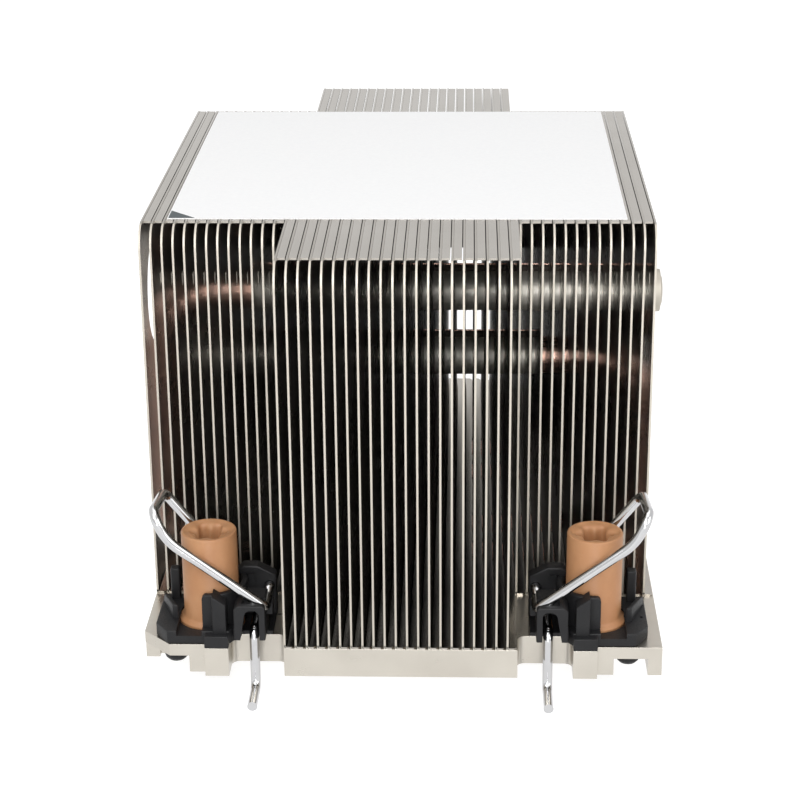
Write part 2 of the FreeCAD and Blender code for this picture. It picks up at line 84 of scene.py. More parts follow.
class Corner(Enum):
    """The four corners of the base, with the signs of X and Y."""

    FRONT_LEFT = ("front_left", -1, -1)
    FRONT_RIGHT = ("front_right", 1, -1)
    REAR_LEFT = ("rear_left", -1, 1)
    REAR_RIGHT = ("rear_right", 1, 1)

    @property
    def label(self) -> str:
        """Name used by the corner's nodes and bodies."""
        return self.value[0]

    @property
    def signs(self) -> tuple[int, int]:
        """Signs of X and Y."""
        return self.value[1], self.value[2]


class Slot(Enum):
    """Material slots of the record."""

    NICKEL = "nickel"
    FINS = "nickel_fins"
    COPPER = "copper"
    PEEK = "peek"
    PLASTIC = "plastic"
    WIRE = "wire"
    LABEL = "label"


# --- node helpers
class NodeTree:
    """A node tree that is laid out in code."""

    def __init__(self, tree: bpy.types.NodeTree) -> None:
        """Take a tree and clear it."""
        self.tree = tree
        tree.nodes.clear()

    def node(self, kind: str, inputs: dict[str, object] | None = None, **settings: object) -> Node:
        """Add a node, set its properties and the constants on its sockets.

        Args:
            kind: kind of the node.
            inputs: constants by socket.
            settings: properties by name.

        Returns:
            The node.
        """
        made = self.tree.nodes.new(kind)
        for key, value in settings.items():
            setattr(made, key, value)
        for key, value in (inputs or {}).items():
            made.inputs[key].default_value = value
        return made

    def link(self, *joins: tuple[Node, str, Node, str | int]) -> None:
        """Join sockets, each pair given as node, output, node and input."""
        for a, out, b, into in joins:
            self.tree.links.new(a.outputs[out], b.inputs[into])


@dataclass(frozen=True)
class Grain:
    """Noise in object coordinates, with its stretch along each axis."""

    scale: Point
    detail: float = 3.0
    rough: float = 0.5


class Shader(NodeTree):
    """Material whose principled shader is driven by noises."""

    def __init__(self, name: str, sockets: dict[str, object]) -> None:
        """Start a material with the constants on its shader's sockets.

        Args:
            name: name of the object.
            sockets: constants on the shader's sockets.
        """
        self.material = bpy.data.materials.new(name)
        self.material.use_nodes = True
        super().__init__(self.material.node_tree)
        self.bsdf = self.node("ShaderNodeBsdfPrincipled", sockets)
        self.link((self.bsdf, "BSDF", self.node("ShaderNodeOutputMaterial"), "Surface"))

    def noise(self, grain: Grain) -> Node:
        """Noise texture fed by object coordinates through a mapping.

        Args:
            grain: noise to lay out.

        Returns:
            The texture node.
        """
        coords = self.node("ShaderNodeTexCoord")
        mapping = self.node("ShaderNodeMapping", {"Scale": grain.scale})
        made = self.node("ShaderNodeTexNoise", {"Scale": 1.0, "Detail": grain.detail,
                                                "Roughness": grain.rough})
        self.link((coords, "Object", mapping, "Vector"), (mapping, "Vector", made, "Vector"))
        return made

    def drive(self, source: Node, through: Node, entry: str, leave: str, socket: str) -> None:
        """Drive a socket of the shader by a noise, through a node."""
        self.link((source, "Fac", through, entry), (through, leave, self.bsdf, socket))


@dataclass(frozen=True)
class Finish:
    """Procedural finish: clouded tint, fine marks in the roughness, shallow bump.

    Without a fine grain of its own, the clouds drive the roughness and the bump too.
    """

    name: str
    stops: tuple[tuple[float, Colour], ...]
    clouds: Grain
    sockets: dict[str, object]
    fine: Grain | None = None
    rough: tuple[float, float] | None = None
    depth: float = 0.0

    def build(self) -> Material:
        """Make the material.

        Returns:
            The material.
        """
        shader = Shader(self.name, self.sockets)
        clouds = shader.noise(self.clouds)
        fine = shader.noise(self.fine) if self.fine else clouds
        ramp = shader.node("ShaderNodeValToRGB")
        elements = ramp.color_ramp.elements
        while len(elements) < len(self.stops):
            elements.new(0.5)
        for element, (place, colour) in zip(elements, self.stops):
            element.position = place
            element.color = (*colour, 1.0)
        shader.drive(clouds, ramp, "Fac", "Color", "Base Color")
        if self.rough:
            span = shader.node("ShaderNodeMapRange", {
                "From Min": NOISE_LOW, "From Max": NOISE_HIGH,
                "To Min": self.rough[0], "To Max": self.rough[1]})
            shader.drive(fine, span, "Value", "Result", "Roughness")
        if self.depth:
            bump = shader.node("ShaderNodeBump", {"Strength": 1.0, "Distance": self.depth})
            shader.drive(fine, bump, "Height", "Normal", "Normal")
        return shader.material


def even(scale: float, detail: float = 3.0, rough: float = 0.5) -> Grain:
    """Grain that is the same along every axis."""
    return Grain((scale, scale, scale), detail, rough)


def nickel(name: str, light: Colour, dark: Colour, rough: tuple[float, float], grain: Point,
           depth: float = 0.0, metallic: float = 1.0) -> Finish:
    """Nickel plating over machined or rolled metal."""
    return Finish(name, ((0.35, dark), (0.65, light)), even(90.0),
                  {"Metallic": metallic, "Specular IOR Level": 0.25}, Grain(grain, 4.0, 0.6), rough, depth)


def coated_paper(name: str, light: Colour, dark: Colour, roughness: float) -> Finish:
    """Matt coated label stock."""
    return Finish(name, ((0.3, dark), (0.7, light)), even(1500.0, 4.0, 0.6),
                  {"Roughness": roughness, "Specular IOR Level": 0.3}, depth=0.000006)


COPPER = Finish(
    "bare_copper", ((0.3, (0.72, 0.42, 0.33)), (0.5, (0.82, 0.52, 0.42)), (0.7, (0.88, 0.60, 0.50))),
    even(140.0, 5.0, 0.6), {"Metallic": 0.8}, Grain((700.0, 2200.0, 700.0)), (0.2, 0.36), 0.0000015)
PEEK = Finish(
    "machined_peek", ((0.3, (0.42, 0.20, 0.092)), (0.55, (0.475, 0.24, 0.115)), (0.75, (0.515, 0.275, 0.14))),
    Grain((220.0, 220.0, 160.0), 4.0, 0.55),
    {"Subsurface Weight": 0.06, "Specular IOR Level": 0.4, "Subsurface Radius": (0.002, 0.001, 0.0005)},
    Grain((60.0, 60.0, 5200.0)), (0.36, 0.52), 0.000008)
MOULDED_BLACK = Finish(
    "moulded_black", ((0.3, (0.010, 0.010, 0.011)), (0.7, (0.015, 0.015, 0.016))), even(300.0),
    {"Specular IOR Level": 0.25}, even(4200.0, 2.0), (0.38, 0.56), 0.00001)
SPRING_WIRE = Finish(
    "spring_wire", ((0.3, (0.50, 0.50, 0.51)), (0.7, (0.54, 0.54, 0.545))), even(500.0),
    {"Metallic": 1.0}, rough=(0.11, 0.125))


@dataclass
class Finishes:
    """Every finish of the object, built once."""

    made: dict[str, Material] = field(default_factory=dict)

    def build(self) -> "Finishes":
        """Make all the materials.

        Returns:
            The same finishes.
        """
        rolled = (60.0, 20.0, 40.0)
        plain = (60.0, 60.0, 60.0)
        recipes = {
            "base": nickel("nickel_plate", (0.535, 0.505, 0.45), (0.48, 0.45, 0.40), (0.27, 0.36),
                           (240.0, 700.0, 700.0), 0.0000008),
            "fins": nickel("nickel_fin", (0.40, 0.375, 0.34), (0.37, 0.345, 0.31), (0.16, 0.24), rolled),
            # Darker copy of the fin nickel for the faces inside the channels: painted shade between the fins.
            "channel": nickel("nickel_channel", (0.36, 0.335, 0.30), (0.31, 0.285, 0.255), (0.25, 0.30),
                              rolled, metallic=0.9),
            # Near-white copy of the nickel for the collars: painted light, so the pipe bands read bright.
            "collar": nickel("nickel_collar", (0.94, 0.90, 0.82), (0.90, 0.86, 0.78), (0.42, 0.50),
                             plain, metallic=0.65),
            # Near-black finish of the notches over the collars: painted shade along the collar row.
            "fold": nickel("soldered_fold", (0.13, 0.11, 0.095), (0.09, 0.075, 0.065), (0.55, 0.7),
                           plain, metallic=0.3),
            # Lighter copy of the nickel for fin rims, the pipes' plated ends and sleeves: painted highlight.
            "edge": nickel("sheared_edge", (0.47, 0.44, 0.385), (0.43, 0.40, 0.35), (0.46, 0.56),
                           (900.0, 900.0, 120.0), 0.0000008),
            "copper": COPPER,
            "peek": PEEK,
            "plastic": MOULDED_BLACK,
            "wire": SPRING_WIRE,
            "label": coated_paper("label_stock", (0.86, 0.86, 0.86), (0.83, 0.83, 0.835), 0.55),
            "mark": coated_paper("label_mark", (0.035, 0.05, 0.055), (0.028, 0.04, 0.045), 0.45),
        }
        self.made = {key: recipe.build() for key, recipe in recipes.items()}
        return self

    def __getitem__(self, key: str) -> Material:
        """Material by its short name."""
        return self.made[key]


# --- mesh helpers
def add_object(name: str, mesh: bpy.types.ID) -> Obj:
    """Link a data block into the scene as an object at the origin.

    Args:
        name: name of the object.
        mesh: data block that it shows.

    Returns:
        The object.
    """
    obj = bpy.data.objects.new(name, mesh)
    bpy.context.scene.collection.objects.link(obj)
    return obj


def bake(obj: Obj, name: str) -> Obj:
    """Turn an object with modifiers into a plain mesh object.

    Args:
        obj: the object to evaluate; it is deleted.
        name: name of the finished piece.

    Returns:
        The new object.
    """
    bpy.context.view_layer.update()
    graph = bpy.context.evaluated_depsgraph_get()
    mesh = bpy.data.meshes.new_from_object(obj.evaluated_get(graph), depsgraph=graph)
    mesh.name = name
    bpy.data.objects.remove(obj, do_unlink=True)
    return add_object(name, mesh)


def mesh_object(name: str, build: Callable[[BMesh], None]) -> Obj:
    """Fill a mesh with a function and link it.

    Args:
        name: name of the object.
        build: function that fills the mesh.

    Returns:
        The object.
    """
    mesh = bpy.data.meshes.new(name)
    bm = bmesh.new()
    build(bm)
    bm.to_mesh(mesh)
    bm.free()
    return add_object(name, mesh)


def add_loft(bm: BMesh, rings: Sequence[Sequence[Vector]], closed_ends: bool = True) -> None:
    """Skin closed rings of equal length, capped at both ends.

    Args:
        bm: mesh that is filled.
        rings: rings of points, in metres.
        closed_ends: whether the ends are capped.
    """
    rows = [[bm.verts.new(p) for p in ring] for ring in rings]
    size = len(rows[0])
    for low, high in zip(rows, rows[1:]):
        for i in range(size):
            j = (i + 1) % size
            bm.faces.new((low[i], low[j], high[j], high[i]))
    if closed_ends:
        bm.faces.new(list(reversed(rows[0])))
        bm.faces.new(rows[-1])


class Axis(Enum):
    """Axis of a circle, held as the directions across and up in its plane."""

    X = ((0, 1, 0), (0, 0, 1))
    Y = ((1, 0, 0), (0, 0, 1))
    Z = ((1, 0, 0), (0, 1, 0))


def circle(axis: Axis, radius: float, centre: Point, sides: int) -> list[Vector]:
    """Points of a circle round an axis, from a radius and a centre in millimetres.

    Args:
        axis: axis of the circle.
        radius: radius, in millimetres.
        centre: centre, in millimetres.
        sides: number of points.

    Returns:
        The points, in metres.
    """
    across, up = (Vector(way) for way in axis.value)
    middle, size = Vector(centre) * MM, radius * MM
    turns = [2 * math.pi * i / sides for i in range(sides)]
    return [middle + across * (size * math.cos(turn)) + up * (size * math.sin(turn)) for turn in turns]


def arc(across: float, up: float, radius: float, start: float, end: float, steps: int) -> Outline:
    """Points of an arc round a centre, with both its ends."""
    turns = [start + (end - start) * step / steps for step in range(steps + 1)]
    return [(across + radius * math.cos(turn), up + radius * math.sin(turn)) for turn in turns]


def prism(outline: Sequence[Point], along: Point) -> Rings:
    """Rings of a closed outline in millimetres, swept along a vector.

    Args:
        outline: closed outline, in millimetres.
        along: sweep, in millimetres.

    Returns:
        Two rings, in metres.
    """
    move = Vector(along) * MM
    low = [Vector(p) * MM for p in outline]
    return [low, [p + move for p in low]]


def box(low: Point, high: Point) -> Rings:
    """Rings of a block between two corners in millimetres.

    Args:
        low: lowest corner, in millimetres.
        high: highest corner, in millimetres.

    Returns:
        Two rings, in metres.
    """
    x0, y0, z0 = low
    x1, y1, z1 = high
    return prism([(x0, y0, z0), (x1, y0, z0), (x1, y1, z0), (x0, y1, z0)], (0, 0, z1 - z0))


def outward(obj: Obj, merge: float = 0.0) -> Obj:
    """Merge doubles and point the faces outwards.

    Args:
        obj: object to change.
        merge: merging distance in metres, 0 for none.

    Returns:
        The same object.
    """
    bm = bmesh.new()
    bm.from_mesh(obj.data)
    if merge:
        bmesh.ops.remove_doubles(bm, verts=bm.verts, dist=merge)
    bmesh.ops.recalc_face_normals(bm, faces=bm.faces)
    bm.to_mesh(obj.data)
    bm.free()
    return obj


def loft_object(name: str, rings: Rings, hollow: bool = False) -> Obj:
    """Solid skinned over rings: capped at both ends, or hollow with its last ring joined to its first.

    Args:
        name: name of the object.
        rings: rings of points, in metres.
        hollow: whether the last ring joins the first.

    Returns:
        The object.
    """
    held = [*rings, rings[0]] if hollow else rings
    made = mesh_object(name, lambda bm: add_loft(bm, held, not hollow))
    return outward(made, MERGE if hollow else 0.0)


def carve(target: Obj, tools: Iterable[Obj], operation: str) -> Obj:
    """Join or cut a list of closed meshes into the target, and bake the result.

    The solver is steadier on large numbers, so the meshes are in millimetres while it works.

    Args:
        target: object that is joined or cut.
        tools: closed objects, which are deleted.
        operation: kind of boolean.

    Returns:
        The baked object.
    """
    held = list(tools)
    for piece in (target, *held):
        piece.data.transform(Matrix.Scale(1.0 / MM, 4))
    name = target.name
    for tool in held:
        modifier = target.modifiers.new("carve", "BOOLEAN")
        modifier.operation = operation
        modifier.solver = SOLVER
        modifier.object = tool
        target = bake(target, name)
        bpy.data.objects.remove(tool, do_unlink=True)
    target.data.transform(Matrix.Scale(MM, 4))
    return target


def turned_object(name: str, profile: Outline, x: float, y: float, sides: int) -> Obj:
    """Lathed solid round an upright axis, from (radius, height) in millimetres."""
    return loft_object(name, [circle(Axis.Z, r, (x, y, z), sides) for r, z in profile])


def soften(obj: Obj, width: float, angle: float) -> None:
    """Small moulded or machined edge radius.

    Args:
        obj: object to change.
        width: width of the edge, in millimetres.
        angle: crease angle, in degrees.
    """
    bevel = obj.modifiers.new("edge", "BEVEL")
    bevel.width = width * MM
    bevel.segments = 2
    bevel.limit_method = "ANGLE"
    bevel.angle_limit = math.radians(angle)
    bevel.harden_normals = False
    bevel.use_clamp_overlap = True


def moulded(name: str, rings: Rings, edge: float) -> Obj:
    """Closed solid with its edges rounded before it is joined to others.

    Args:
        name: name of the object.
        rings: rings of points, in metres.
        edge: edge radius in millimetres, 0 for sharp edges.

    Returns:
        The object.
    """
    made = loft_object(name, rings)
    if edge:
        soften(made, edge, 30.0)
        made = bake(made, name)
    return made


def shade(obj: Obj, angle: float) -> None:
    """Smooth shading with sharp creases kept above an angle.

    Args:
        obj: object to change.
        angle: crease angle, in degrees.
    """
    mesh = obj.data
    mesh.polygons.foreach_set("use_smooth", [True] * len(mesh.polygons))
    bm = bmesh.new()
    bm.from_mesh(mesh)
    limit = math.radians(angle)
    for edge in bm.edges:
        edge.smooth = len(edge.link_faces) == 2 and edge.calc_face_angle(0.0) < limit
    bm.to_mesh(mesh)
    bm.free()


def dress(obj: Obj, material: Material, slot: Slot, body: str, *nodes: str) -> None:
    """Give a finished piece its material and body, and hide the nodes that it stands for.

    Args:
        obj: object to change.
        material: its material.
        slot: not used.
        body: body that it rides on.
        nodes: CAD nodes that it stands for.
    """
    obj.data.materials.clear()
    obj.data.materials.append(material)
    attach(obj, body)
    if nodes:
        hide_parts(*nodes)
    LOG.info("%s: %d faces", obj.name, len(obj.data.polygons))


# --- geometry nodes
class GeometryTree(NodeTree):
    """A geometry node tree built in code, with named inputs."""

    def __init__(self, name: str, **kinds: str) -> None:
        """Start a tree with one geometry output.

        Args:
            name: name of the tree.
            kinds: kind of each input by its name, with spaces as underscores.
        """
        super().__init__(bpy.data.node_groups.new(name, "GeometryNodeTree"))
        face = self.tree.interface
        face.new_socket("Geometry", in_out="OUTPUT", socket_type="NodeSocketGeometry")
        self.ids = {key: face.new_socket(key.replace("_", " "), in_out="INPUT",
                                         socket_type="NodeSocket" + kind).identifier
                    for key, kind in kinds.items()}
        self.inputs = self.node("NodeGroupInput")

    def paint(self, source: Node, out: str) -> None:
        """Realize the result, give it its material and send it out.

        Args:
            source: node that gives the geometry.
            out: its output.
        """
        real = self.node("GeometryNodeRealizeInstances")
        paint = self.node("GeometryNodeSetMaterial")
        self.link((source, out, real, "Geometry"), (real, "Geometry", paint, "Geometry"),
                  (self.inputs, "Material", paint, "Material"),
                  (paint, "Geometry", self.node("NodeGroupOutput"), "Geometry"))

    def run(self, obj: Obj, name: str, **values: object) -> Obj:
        """Apply the tree to an object and bake the result.

        Args:
            obj: carrier object.
            name: name of the finished piece.
            values: input values by input name, with spaces as underscores.

        Returns:
            The baked object.
        """
        modifier = obj.modifiers.new("nodes", "NODES")
        modifier.node_group = self.tree
        for key, value in values.items():
            modifier[self.ids[key]] = value
        return bake(obj, name)


def row_tree() -> GeometryTree:
    """Tree that repeats one piece along X.

    Returns:
        The tree, with inputs Fin, Count, Pitch, Start and Material.
    """
    made = GeometryTree("fin_row", Fin="Object", Count="Int", Pitch="Float", Start="Float",
                        Material="Material")
    info = made.node("GeometryNodeObjectInfo")
    line = made.node("GeometryNodeMeshLine", mode="OFFSET", count_mode="TOTAL")
    start = made.node("ShaderNodeCombineXYZ")
    step = made.node("ShaderNodeCombineXYZ")
    spread = made.node("GeometryNodeInstanceOnPoints")
    made.link(
        (made.inputs, "Fin", info, "Object"),
        (made.inputs, "Start", start, "X"),
        (made.inputs, "Pitch", step, "X"),
        (made.inputs, "Count", line, "Count"),
        (start, "Vector", line, "Start Location"),
        (step, "Vector", line, "Offset"),
        (line, "Mesh", spread, "Points"),
        (info, "Geometry", spread, "Instance"),
    )
    made.paint(spread, "Instances")
    return made


def repeat(name: str, piece: Obj, count: int, pitch: float, start: float, angle: float,
           material: Material) -> Obj:
    """Row of a piece along X.

    Args:
        name: name of the finished row.
        piece: what is repeated; it is deleted.
        count: number of copies.
        pitch: distance between copies, in millimetres.
        start: place of the first copy, in millimetres.
        angle: crease angle of the shading, in degrees.
        material: material of the row.

    Returns:
        The baked row.
    """
    row = row_tree().run(mesh_object("carrier", lambda bm: None), name, Fin=piece, Count=count,
                         Pitch=pitch * MM, Start=start * MM, Material=material)
    bpy.data.objects.remove(piece, do_unlink=True)
    shade(row, angle)
    return row


def rod_tree() -> GeometryTree:
    """Tree that bends a round rod or tube along straight runs with rounded corners.

    Returns:
        The tree, with inputs Path, Radius, Sides, Arc Points and Material. The bend radius of each
        corner is the path's own attribute "bend".
    """
    made = GeometryTree("bent_rod", Path="Geometry", Radius="Float", Sides="Int", Arc_Points="Int",
                        Material="Material")
    curve = made.node("GeometryNodeMeshToCurve")
    bend = made.node("GeometryNodeInputNamedAttribute", {"Name": "bend"}, data_type="FLOAT")
    fillet = made.node("GeometryNodeFilletCurve", {"Limit Radius": True}, mode="POLY")
    ring = made.node("GeometryNodeCurvePrimitiveCircle", mode="RADIUS")
    skin = made.node("GeometryNodeCurveToMesh", {"Fill Caps": True})
    smooth = made.node("GeometryNodeSetShadeSmooth")
    made.link(
        (made.inputs, "Path", curve, "Mesh"),
        (curve, "Curve", fillet, "Curve"),
        (bend, "Attribute", fillet, "Radius"),
        (made.inputs, "Arc Points", fillet, "Count"),
        (made.inputs, "Sides", ring, "Resolution"),
        (made.inputs, "Radius", ring, "Radius"),
        (fillet, "Curve", skin, "Curve"),
        (ring, "Curve", skin, "Profile Curve"),
        (skin, "Mesh", smooth, "Geometry"),
    )
    made.paint(smooth, "Geometry")
    return made


def path_object(name: str, points: Sequence[Point], bends: Sequence[float]) -> Obj:
    """Open chain of edges through points, with the bend radius at each one, in millimetres.

    Args:
        name: name of the object.
        points: corners, in millimetres.
        bends: bend radius at each corner, in millimetres.

    Returns:
        The chain, with its bends.
    """

    def build(bm: BMesh) -> None:
        """Fill the mesh.

        Args:
            bm: mesh that is filled.
        """
        verts = [bm.verts.new(Vector(p) * MM) for p in points]
        for a, b in zip(verts, verts[1:]):
            bm.edges.new((a, b))

    path = mesh_object(name, build)
    attribute = path.data.attributes.new("bend", "FLOAT", "POINT")
    attribute.data.foreach_set("value", [bend * MM for bend in bends])
    return path


# --- fins
@dataclass
class FinStack:
    """Row of folded fins, pierced by the heat pipes."""

    finishes: Finishes
    count: int = 47
    side_count: int = 13
    per_node: int = 5
    width: float = 78.0
    thickness: float = 0.3
    bottom: float = 4.6
    top: float = 64.34
    side_reach: float = 39.0
    centre_reach: float = 57.45
    corner: float = 3.6
    fold: float = 0.55
    gap: float = 0.14
    hole: float = 3.12
    slot_half: float = 3.3
    upper_z: float = 49.5
    lower_z: float = 34.7
    upper_rows: tuple[float, float] = (-22.4, 11.2)
    lower_rows: tuple[float, float] = (-11.2, 22.4)
    bend_zone: float = 27.2
    window_radius: float = 8.6
    window_shift: tuple[float, float] = (-3.2, 1.5)
    slot_lift: float = 0.6
    tie_y: float = -9.4
    tie_z: float = 3.6
    tie_size: tuple[float, float] = (1.3, 1.9)
    relief: float = 0.35
    segments: int = 24

    @property
    def pitch(self) -> float:
        """Distance between fins."""
        return self.width / self.count

    def start(self, index: int) -> float:
        """Left face of a fin."""
        return -self.width / 2 + index * self.pitch

    def outline(self, reach: float) -> Outline:
        """Fin outline in (y, z), with rounded upper corners.

        Args:
            reach: half the length, in millimetres.

        Returns:
            The points.
        """
        corner = arc(reach - self.corner, self.top - self.corner, self.corner, 0.0, math.pi / 2, 6)
        return [(-reach, self.bottom), (reach, self.bottom), *corner,
                *[(-y, z) for y, z in reversed(corner)]]

    def round_hole(self, y: float, z: float) -> Outline:
        """Hole for a pipe."""
        return arc(y, z, self.hole, 0.0, 2 * math.pi, self.segments)[:-1]

    def slot_foot(self, y: float) -> Outline:
        """Two lower corners of a slot."""
        low = self.bottom + self.slot_lift
        return [(y - self.slot_half, low), (y + self.slot_half, low)]

    def slot(self, y: float, height: float) -> Outline:
        """Closed slot round a pipe's upright run, open enough to pass the bend."""
        return self.slot_foot(y) + arc(y, height, self.slot_half, 0.0, math.pi, 12)

    def window(self, y: float, height: float) -> Outline:
        """Slot joined with the round window of the outermost left fin.

        Args:
            y: place along Y, in millimetres.
            height: height of the pipe's run, in millimetres.

        Returns:
            The points.
        """
        half, radius = self.slot_half, self.window_radius
        cy, cz = y + self.window_shift[0], height + self.window_shift[1]
        start = -math.acos((y + half - cy) / radius)
        end = 2 * math.pi - math.acos((y - half - cy) / radius)
        return self.slot_foot(y) + arc(cy, cz, radius, start, end, 40)

    def tie_slit(self, y: float, height: float) -> Outline:
        """Narrow upright slit beside an upper pipe.

        Args:
            y: place along Y, in millimetres.
            height: height of the pipe's run, in millimetres.

        Returns:
            The points.
        """
        y0, z0 = y + self.tie_y, height + self.tie_z
        y1, z1 = y0 + self.tie_size[0], z0 + self.tie_size[1]
        return [(y0, z0), (y1, z0), (y1, z1), (y0, z1)]

    def plate(self, name: str, reach: float, cuts: Sequence[Outline]) -> Obj:
        """Flat pressed plate with its cut-outs, standing in the YZ plane at X = 0.

        Args:
            name: name of the object.
            reach: half the length, in millimetres.
            cuts: outlines of the cut-outs.

        Returns:
            The object.
        """
        curve = bpy.data.curves.new(name, "CURVE")
        curve.dimensions = "2D"
        curve.fill_mode = "BOTH"
        curve.extrude = self.thickness * MM / 2
        for loop in [self.outline(reach), *cuts]:
            spline = curve.splines.new("POLY")
            spline.points.add(len(loop) - 1)
            for point, (y, z) in zip(spline.points, loop):
                point.co = (y * MM, z * MM, 0.0, 1.0)
            spline.use_cyclic_u = True
        made = bake(add_object(name, curve), name)
        turn = Matrix(((0, 0, 1, self.thickness * MM / 2), (1, 0, 0, 0), (0, 1, 0, 0), (0, 0, 0, 1)))
        made.data.transform(turn)
        return outward(made, MERGE)

    def flange_profile(self, top: bool) -> Outline:
        """Cross-section (x, z) of a folded flange with its bend.

        Args:
            top: whether it is the top flange.

        Returns:
            The points.
        """
        end = self.pitch - self.gap
        outer = self.fold
        inner = max(self.fold - self.thickness, 0.05)
        z = self.top if top else self.bottom
        sign = -1 if top else 1
        points: Outline = [(end, z), (end, z + sign * self.thickness)]
        for radius in (inner, outer):
            steps = range(5) if radius == inner else range(4, -1, -1)
            for step in steps:
                turn = math.pi / 2 * step / 4
                points.append((outer - radius * math.sin(turn), z + sign * (outer - radius * math.cos(turn))))
        return points

    def add_flange(self, bm: BMesh, top: bool, reach: float, notch: bool) -> None:
        """Fold a flange along Y, with a small relief at its free corners.

        Args:
            bm: mesh that is filled.
            top: whether it is the top flange.
            reach: half the length, in millimetres.
            notch: whether its free corners have a relief.
        """
        profile = self.flange_profile(top)
        relief = self.relief if notch else 0.0
        rings = []
        for y in (-reach, -reach + relief, reach - relief, reach):
            ring = []
            for x, z in profile:
                cut = relief and abs(abs(y) - reach) < 1e-9 and x > self.pitch - self.gap - 1e-6
                ring.append(Vector((x - (relief if cut else 0.0), y, z)) * MM)
            rings.append(ring)
        add_loft(bm, rings)

    def make_fin(self, name: str, reach: float, cuts: Sequence[Outline], top_reach: float,
                 with_top: bool) -> Obj:
        """One fin with its flanges, starting at X = 0.

        Args:
            name: name of the object.
            reach: half the length, in millimetres.
            cuts: outlines of the cut-outs.
            top_reach: half the length of the top flange.
            with_top: whether it has a top flange.

        Returns:
            The object.
        """
        plate = self.plate(name, reach, cuts)

        def build(bm: BMesh) -> None:
            """Fill the mesh with the flanges.

            Args:
                bm: mesh that is filled.
            """
            self.add_flange(bm, False, reach, True)
            if with_top:
                self.add_flange(bm, True, top_reach, False)

        flanges = outward(mesh_object(name + "_flanges", build))
        bm = bmesh.new()
        bm.from_mesh(plate.data)
        bm.from_mesh(flanges.data)
        bm.to_mesh(plate.data)
        bm.free()
        bpy.data.objects.remove(flanges, do_unlink=True)
        return plate

    def cuts_for(self, index: int) -> list[Outline]:
        """Cut-outs of one fin.

        Args:
            index: number of the fin.

        Returns:
            The outlines.
        """
        x = self.start(index)
        cuts = []
        for rows, height, side in ((self.upper_rows, self.upper_z, -1), (self.lower_rows, self.lower_z, 1)):
            for y in rows:
                across = side * (x + self.pitch / 2) + self.pitch / 2
                if rows is self.upper_rows and index:
                    cuts.append(self.tie_slit(y, height))
                if across > self.bend_zone:
                    first = index == 0 and side < 0
                    cuts.append(self.window(y, height) if first else self.slot(y, height))
                else:
                    cuts.append(self.round_hole(y, height))
        return cuts

    def build(self) -> None:
        """Build every zone of the stack and dress it."""
        zones: dict[tuple[bool, ...], list[int]] = {}
        for index in range(self.count):
            middle = self.start(index) + self.pitch / 2
            left = -middle + self.pitch / 2 > self.bend_zone
            right = middle + self.pitch / 2 > self.bend_zone
            centre = self.side_count <= index < self.count - self.side_count
            last = index == self.count - 1
            key = (left, right, centre, last, index < self.count / 2, index == 0)
            zones.setdefault(key, []).append(index)
        pieces = []
        for number, (key, indices) in enumerate(zones.items(), 1):
            centre, last = key[2], key[3]
            reach = self.centre_reach if centre else self.side_reach
            fin = self.make_fin("fin", reach, self.cuts_for(indices[0]), reach - self.corner, not last)
            row = repeat("fin_row_%d" % number, fin, len(indices), self.pitch, self.start(indices[0]),
                         30.0, self.finishes["fins"])
            pieces.append((row, indices))
        self.declare(pieces)

    def declare(self, pieces: Sequence[tuple[Obj, list[int]]]) -> None:
        """Work out which nodes each row of fins stands for and hide them, and finish its faces.

        Args:
            pieces: rows, each with its fins.
        """
        groups: dict[str, list[int]] = {}
        left, right = self.side_count, self.count - self.side_count
        for prefix, low, high in (("fins_left_", 0, left), ("fins_centre_", left, right),
                                  ("fins_right_", right, self.count)):
            for number, begin in enumerate(range(low, high, self.per_node), 1):
                groups[prefix + str(number)] = list(range(begin, min(begin + self.per_node, high)))
        for row, indices in pieces:
            nodes = [name for name, held in groups.items() if set(held) & set(indices)]
            dress(row, self.finishes["fins"], Slot.FINS, "heatsink", *nodes)
            # Fin rims take the lighter nickel: painted highlight.
            row.data.materials.append(self.finishes["edge"])
            # Faces inside the channels take the darker nickel: painted shade.
            row.data.materials.append(self.finishes["channel"])
            for face in row.data.polygons:
                face.material_index = self.face_finish(face)

    def face_finish(self, face: bpy.types.MeshPolygon) -> int:
        """Material index of a face: OUTER, the RIM in lighter nickel as painted highlight, or inside a
        channel in darker nickel as painted shade.

        Args:
            face: face of a row.

        Returns:
            The index.
        """
        x = face.center.x / MM
        local = (x + self.width / 2) % self.pitch
        within = 1e-3 < local < self.thickness - 1e-3
        right = (self.count - self.side_count - 1, self.count - 1)
        outer = any(abs(x - self.start(index)) < 0.01 for index in (0, self.side_count)) or any(
            abs(x - self.start(index) - self.thickness) < 0.01 for index in right)
        if abs(face.normal.x) > 0.9 and not outer:
            return CHANNEL_SHADE
        if within and abs(face.normal.x) < 0.3 and abs(face.normal.z) < 0.99:
            return RIM
        return OUTER


